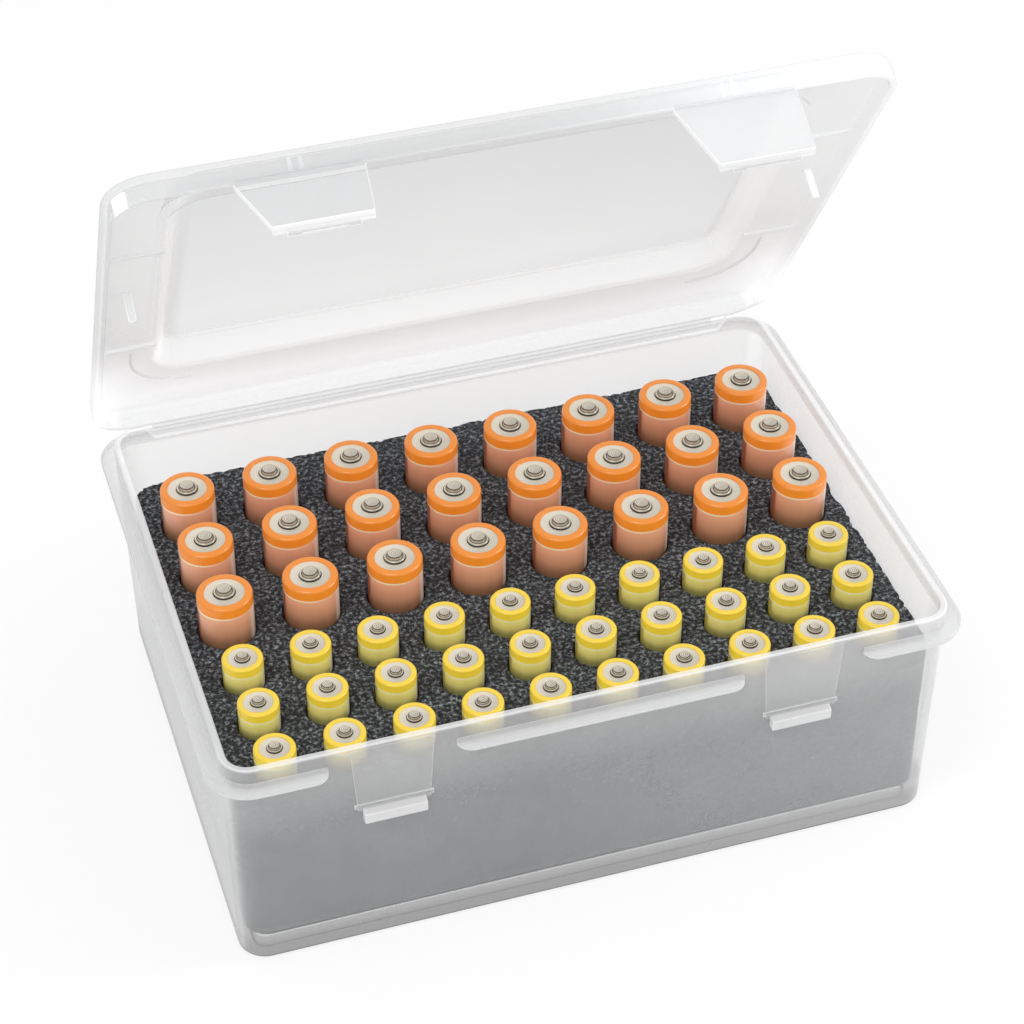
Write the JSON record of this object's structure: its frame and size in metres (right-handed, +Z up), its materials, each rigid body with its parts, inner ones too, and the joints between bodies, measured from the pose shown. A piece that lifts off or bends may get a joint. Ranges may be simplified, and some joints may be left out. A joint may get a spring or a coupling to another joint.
{
  "type": "battery storage case",
  "caption": "Clear hinged storage case with a raised lid panel, two snap flaps and a drilled foam insert that holds upright round cells in two sizes.",
  "frame": {"origin": "centre of the foot ring's underside, on the surface that the case stands on", "axes": "+X along the length to the right as seen from the latches, -Y out of the latch side, +Z up"},
  "size_m": [0.192, 0.1472, 0.1866],
  "materials": {
    "case_plastic": "frosted translucent polypropylene",
    "lid_plastic": "frosted translucent polypropylene, thinner",
    "foam": "charcoal foam with a fine open grain",
    "orange_sleeve": "printed shrink sleeve on a steel can",
    "yellow_sleeve": "printed shrink sleeve on a steel can"
  },
  "bodies": {
    "case": {"case_box": "case_plastic", "foam_insert": "foam"},
    "lid": {"lid": "lid_plastic"},
    "latch_left": {"latch_left": "lid_plastic"},
    "latch_right": {"latch_right": "lid_plastic"},
    "aa_battery_r1_c01": {"aa_battery_r1_c01": "orange_sleeve"},
    "aa_battery_r1_c02": {"aa_battery_r1_c02": "orange_sleeve"},
    "aa_battery_r1_c03": {"aa_battery_r1_c03": "orange_sleeve"},
    "aa_battery_r1_c04": {"aa_battery_r1_c04": "orange_sleeve"},
    "aa_battery_r1_c05": {"aa_battery_r1_c05": "orange_sleeve"},
    "aa_battery_r1_c06": {"aa_battery_r1_c06": "orange_sleeve"},
    "aa_battery_r1_c07": {"aa_battery_r1_c07": "orange_sleeve"},
    "aa_battery_r1_c08": {"aa_battery_r1_c08": "orange_sleeve"},
    "aa_battery_r2_c01": {"aa_battery_r2_c01": "orange_sleeve"},
    "aa_battery_r2_c02": {"aa_battery_r2_c02": "orange_sleeve"},
    "aa_battery_r2_c03": {"aa_battery_r2_c03": "orange_sleeve"},
    "aa_battery_r2_c04": {"aa_battery_r2_c04": "orange_sleeve"},
    "aa_battery_r2_c05": {"aa_battery_r2_c05": "orange_sleeve"},
    "aa_battery_r2_c06": {"aa_battery_r2_c06": "orange_sleeve"},
    "aa_battery_r2_c07": {"aa_battery_r2_c07": "orange_sleeve"},
    "aa_battery_r2_c08": {"aa_battery_r2_c08": "orange_sleeve"},
    "aa_battery_r3_c01": {"aa_battery_r3_c01": "orange_sleeve"},
    "aa_battery_r3_c02": {"aa_battery_r3_c02": "orange_sleeve"},
    "aa_battery_r3_c03": {"aa_battery_r3_c03": "orange_sleeve"},
    "aa_battery_r3_c04": {"aa_battery_r3_c04": "orange_sleeve"},
    "aa_battery_r3_c05": {"aa_battery_r3_c05": "orange_sleeve"},
    "aa_battery_r3_c06": {"aa_battery_r3_c06": "orange_sleeve"},
    "aa_battery_r3_c07": {"aa_battery_r3_c07": "orange_sleeve"},
    "aa_battery_r3_c08": {"aa_battery_r3_c08": "orange_sleeve"},
    "aaa_battery_r1_c01": {"aaa_battery_r1_c01": "yellow_sleeve"},
    "aaa_battery_r1_c02": {"aaa_battery_r1_c02": "yellow_sleeve"},
    "aaa_battery_r1_c03": {"aaa_battery_r1_c03": "yellow_sleeve"},
    "aaa_battery_r1_c04": {"aaa_battery_r1_c04": "yellow_sleeve"},
    "aaa_battery_r1_c05": {"aaa_battery_r1_c05": "yellow_sleeve"},
    "aaa_battery_r1_c06": {"aaa_battery_r1_c06": "yellow_sleeve"},
    "aaa_battery_r1_c07": {"aaa_battery_r1_c07": "yellow_sleeve"},
    "aaa_battery_r1_c08": {"aaa_battery_r1_c08": "yellow_sleeve"},
    "aaa_battery_r1_c09": {"aaa_battery_r1_c09": "yellow_sleeve"},
    "aaa_battery_r1_c10": {"aaa_battery_r1_c10": "yellow_sleeve"},
    "aaa_battery_r2_c01": {"aaa_battery_r2_c01": "yellow_sleeve"},
    "aaa_battery_r2_c02": {"aaa_battery_r2_c02": "yellow_sleeve"},
    "aaa_battery_r2_c03": {"aaa_battery_r2_c03": "yellow_sleeve"},
    "aaa_battery_r2_c04": {"aaa_battery_r2_c04": "yellow_sleeve"},
    "aaa_battery_r2_c05": {"aaa_battery_r2_c05": "yellow_sleeve"},
    "aaa_battery_r2_c06": {"aaa_battery_r2_c06": "yellow_sleeve"},
    "aaa_battery_r2_c07": {"aaa_battery_r2_c07": "yellow_sleeve"},
    "aaa_battery_r2_c08": {"aaa_battery_r2_c08": "yellow_sleeve"},
    "aaa_battery_r2_c09": {"aaa_battery_r2_c09": "yellow_sleeve"},
    "aaa_battery_r2_c10": {"aaa_battery_r2_c10": "yellow_sleeve"},
    "aaa_battery_r3_c01": {"aaa_battery_r3_c01": "yellow_sleeve"},
    "aaa_battery_r3_c02": {"aaa_battery_r3_c02": "yellow_sleeve"},
    "aaa_battery_r3_c03": {"aaa_battery_r3_c03": "yellow_sleeve"},
    "aaa_battery_r3_c04": {"aaa_battery_r3_c04": "yellow_sleeve"},
    "aaa_battery_r3_c05": {"aaa_battery_r3_c05": "yellow_sleeve"},
    "aaa_battery_r3_c06": {"aaa_battery_r3_c06": "yellow_sleeve"},
    "aaa_battery_r3_c07": {"aaa_battery_r3_c07": "yellow_sleeve"},
    "aaa_battery_r3_c08": {"aaa_battery_r3_c08": "yellow_sleeve"},
    "aaa_battery_r3_c09": {"aaa_battery_r3_c09": "yellow_sleeve"},
    "aaa_battery_r3_c10": {"aaa_battery_r3_c10": "yellow_sleeve"}
  },
  "joints": [
    {"name": "lid_hinge", "type": "hinge", "parent": "case", "child": "lid", "pos_m": [0, 0.07115, 0.06255], "axis": [-1, 0, 0], "range_deg": [-58.5, 121.5]},
    {"name": "latch_left_hinge", "type": "hinge", "parent": "lid", "child": "latch_left", "pos_m": [-0.052, -0.00312, 0.18375], "axis": [-1, 0, 0], "range_deg": [-37, 83]},
    {"name": "latch_right_hinge", "type": "hinge", "parent": "lid", "child": "latch_right", "pos_m": [0.052, -0.00312, 0.18375], "axis": [-1, 0, 0], "range_deg": [-25.5, 94.5]},
    {"name": "aa_battery_r1_c01_lift", "type": "slide", "parent": "case", "child": "aa_battery_r1_c01", "axis": [0, 0, 1], "range_m": [0, 0.037]},
    {"name": "aa_battery_r1_c02_lift", "type": "slide", "parent": "case", "child": "aa_battery_r1_c02", "axis": [0, 0, 1], "range_m": [0, 0.037]},
    {"name": "aa_battery_r1_c03_lift", "type": "slide", "parent": "case", "child": "aa_battery_r1_c03", "axis": [0, 0, 1], "range_m": [0, 0.037]},
    {"name": "aa_battery_r1_c04_lift", "type": "slide", "parent": "case", "child": "aa_battery_r1_c04", "axis": [0, 0, 1], "range_m": [0, 0.037]},
    {"name": "aa_battery_r1_c05_lift", "type": "slide", "parent": "case", "child": "aa_battery_r1_c05", "axis": [0, 0, 1], "range_m": [0, 0.037]},
    {"name": "aa_battery_r1_c06_lift", "type": "slide", "parent": "case", "child": "aa_battery_r1_c06", "axis": [0, 0, 1], "range_m": [0, 0.037]},
    {"name": "aa_battery_r1_c07_lift", "type": "slide", "parent": "case", "child": "aa_battery_r1_c07", "axis": [0, 0, 1], "range_m": [0, 0.037]},
    {"name": "aa_battery_r1_c08_lift", "type": "slide", "parent": "case", "child": "aa_battery_r1_c08", "axis": [0, 0, 1], "range_m": [0, 0.037]},
    {"name": "aa_battery_r2_c01_lift", "type": "slide", "parent": "case", "child": "aa_battery_r2_c01", "axis": [0, 0, 1], "range_m": [0, 0.037]},
    {"name": "aa_battery_r2_c02_lift", "type": "slide", "parent": "case", "child": "aa_battery_r2_c02", "axis": [0, 0, 1], "range_m": [0, 0.037]},
    {"name": "aa_battery_r2_c03_lift", "type": "slide", "parent": "case", "child": "aa_battery_r2_c03", "axis": [0, 0, 1], "range_m": [0, 0.037]},
    {"name": "aa_battery_r2_c04_lift", "type": "slide", "parent": "case", "child": "aa_battery_r2_c04", "axis": [0, 0, 1], "range_m": [0, 0.037]},
    {"name": "aa_battery_r2_c05_lift", "type": "slide", "parent": "case", "child": "aa_battery_r2_c05", "axis": [0, 0, 1], "range_m": [0, 0.037]},
    {"name": "aa_battery_r2_c06_lift", "type": "slide", "parent": "case", "child": "aa_battery_r2_c06", "axis": [0, 0, 1], "range_m": [0, 0.037]},
    {"name": "aa_battery_r2_c07_lift", "type": "slide", "parent": "case", "child": "aa_battery_r2_c07", "axis": [0, 0, 1], "range_m": [0, 0.037]},
    {"name": "aa_battery_r2_c08_lift", "type": "slide", "parent": "case", "child": "aa_battery_r2_c08", "axis": [0, 0, 1], "range_m": [0, 0.037]},
    {"name": "aa_battery_r3_c01_lift", "type": "slide", "parent": "case", "child": "aa_battery_r3_c01", "axis": [0, 0, 1], "range_m": [0, 0.037]},
    {"name": "aa_battery_r3_c02_lift", "type": "slide", "parent": "case", "child": "aa_battery_r3_c02", "axis": [0, 0, 1], "range_m": [0, 0.037]},
    {"name": "aa_battery_r3_c03_lift", "type": "slide", "parent": "case", "child": "aa_battery_r3_c03", "axis": [0, 0, 1], "range_m": [0, 0.037]},
    {"name": "aa_battery_r3_c04_lift", "type": "slide", "parent": "case", "child": "aa_battery_r3_c04", "axis": [0, 0, 1], "range_m": [0, 0.037]},
    {"name": "aa_battery_r3_c05_lift", "type": "slide", "parent": "case", "child": "aa_battery_r3_c05", "axis": [0, 0, 1], "range_m": [0, 0.037]},
    {"name": "aa_battery_r3_c06_lift", "type": "slide", "parent": "case", "child": "aa_battery_r3_c06", "axis": [0, 0, 1], "range_m": [0, 0.037]},
    {"name": "aa_battery_r3_c07_lift", "type": "slide", "parent": "case", "child": "aa_battery_r3_c07", "axis": [0, 0, 1], "range_m": [0, 0.037]},
    {"name": "aa_battery_r3_c08_lift", "type": "slide", "parent": "case", "child": "aa_battery_r3_c08", "axis": [0, 0, 1], "range_m": [0, 0.037]},
    {"name": "aaa_battery_r1_c01_lift", "type": "slide", "parent": "case", "child": "aaa_battery_r1_c01", "axis": [0, 0, 1], "range_m": [0, 0.037]},
    {"name": "aaa_battery_r1_c02_lift", "type": "slide", "parent": "case", "child": "aaa_battery_r1_c02", "axis": [0, 0, 1], "range_m": [0, 0.037]},
    {"name": "aaa_battery_r1_c03_lift", "type": "slide", "parent": "case", "child": "aaa_battery_r1_c03", "axis": [0, 0, 1], "range_m": [0, 0.037]},
    {"name": "aaa_battery_r1_c04_lift", "type": "slide", "parent": "case", "child": "aaa_battery_r1_c04", "axis": [0, 0, 1], "range_m": [0, 0.037]},
    {"name": "aaa_battery_r1_c05_lift", "type": "slide", "parent": "case", "child": "aaa_battery_r1_c05", "axis": [0, 0, 1], "range_m": [0, 0.037]},
    {"name": "aaa_battery_r1_c06_lift", "type": "slide", "parent": "case", "child": "aaa_battery_r1_c06", "axis": [0, 0, 1], "range_m": [0, 0.037]},
    {"name": "aaa_battery_r1_c07_lift", "type": "slide", "parent": "case", "child": "aaa_battery_r1_c07", "axis": [0, 0, 1], "range_m": [0, 0.037]},
    {"name": "aaa_battery_r1_c08_lift", "type": "slide", "parent": "case", "child": "aaa_battery_r1_c08", "axis": [0, 0, 1], "range_m": [0, 0.037]},
    {"name": "aaa_battery_r1_c09_lift", "type": "slide", "parent": "case", "child": "aaa_battery_r1_c09", "axis": [0, 0, 1], "range_m": [0, 0.037]},
    {"name": "aaa_battery_r1_c10_lift", "type": "slide", "parent": "case", "child": "aaa_battery_r1_c10", "axis": [0, 0, 1], "range_m": [0, 0.037]},
    {"name": "aaa_battery_r2_c01_lift", "type": "slide", "parent": "case", "child": "aaa_battery_r2_c01", "axis": [0, 0, 1], "range_m": [0, 0.037]},
    {"name": "aaa_battery_r2_c02_lift", "type": "slide", "parent": "case", "child": "aaa_battery_r2_c02", "axis": [0, 0, 1], "range_m": [0, 0.037]},
    {"name": "aaa_battery_r2_c03_lift", "type": "slide", "parent": "case", "child": "aaa_battery_r2_c03", "axis": [0, 0, 1], "range_m": [0, 0.037]},
    {"name": "aaa_battery_r2_c04_lift", "type": "slide", "parent": "case", "child": "aaa_battery_r2_c04", "axis": [0, 0, 1], "range_m": [0, 0.037]},
    {"name": "aaa_battery_r2_c05_lift", "type": "slide", "parent": "case", "child": "aaa_battery_r2_c05", "axis": [0, 0, 1], "range_m": [0, 0.037]},
    {"name": "aaa_battery_r2_c06_lift", "type": "slide", "parent": "case", "child": "aaa_battery_r2_c06", "axis": [0, 0, 1], "range_m": [0, 0.037]},
    {"name": "aaa_battery_r2_c07_lift", "type": "slide", "parent": "case", "child": "aaa_battery_r2_c07", "axis": [0, 0, 1], "range_m": [0, 0.037]},
    {"name": "aaa_battery_r2_c08_lift", "type": "slide", "parent": "case", "child": "aaa_battery_r2_c08", "axis": [0, 0, 1], "range_m": [0, 0.037]},
    {"name": "aaa_battery_r2_c09_lift", "type": "slide", "parent": "case", "child": "aaa_battery_r2_c09", "axis": [0, 0, 1], "range_m": [0, 0.037]},
    {"name": "aaa_battery_r2_c10_lift", "type": "slide", "parent": "case", "child": "aaa_battery_r2_c10", "axis": [0, 0, 1], "range_m": [0, 0.037]},
    {"name": "aaa_battery_r3_c01_lift", "type": "slide", "parent": "case", "child": "aaa_battery_r3_c01", "axis": [0, 0, 1], "range_m": [0, 0.037]},
    {"name": "aaa_battery_r3_c02_lift", "type": "slide", "parent": "case", "child": "aaa_battery_r3_c02", "axis": [0, 0, 1], "range_m": [0, 0.037]},
    {"name": "aaa_battery_r3_c03_lift", "type": "slide", "parent": "case", "child": "aaa_battery_r3_c03", "axis": [0, 0, 1], "range_m": [0, 0.037]},
    {"name": "aaa_battery_r3_c04_lift", "type": "slide", "parent": "case", "child": "aaa_battery_r3_c04", "axis": [0, 0, 1], "range_m": [0, 0.037]},
    {"name": "aaa_battery_r3_c05_lift", "type": "slide", "parent": "case", "child": "aaa_battery_r3_c05", "axis": [0, 0, 1], "range_m": [0, 0.037]},
    {"name": "aaa_battery_r3_c06_lift", "type": "slide", "parent": "case", "child": "aaa_battery_r3_c06", "axis": [0, 0, 1], "range_m": [0, 0.037]},
    {"name": "aaa_battery_r3_c07_lift", "type": "slide", "parent": "case", "child": "aaa_battery_r3_c07", "axis": [0, 0, 1], "range_m": [0, 0.037]},
    {"name": "aaa_battery_r3_c08_lift", "type": "slide", "parent": "case", "child": "aaa_battery_r3_c08", "axis": [0, 0, 1], "range_m": [0, 0.037]},
    {"name": "aaa_battery_r3_c09_lift", "type": "slide", "parent": "case", "child": "aaa_battery_r3_c09", "axis": [0, 0, 1], "range_m": [0, 0.037]},
    {"name": "aaa_battery_r3_c10_lift", "type": "slide", "parent": "case", "child": "aaa_battery_r3_c10", "axis": [0, 0, 1], "range_m": [0, 0.037]}
  ]
}
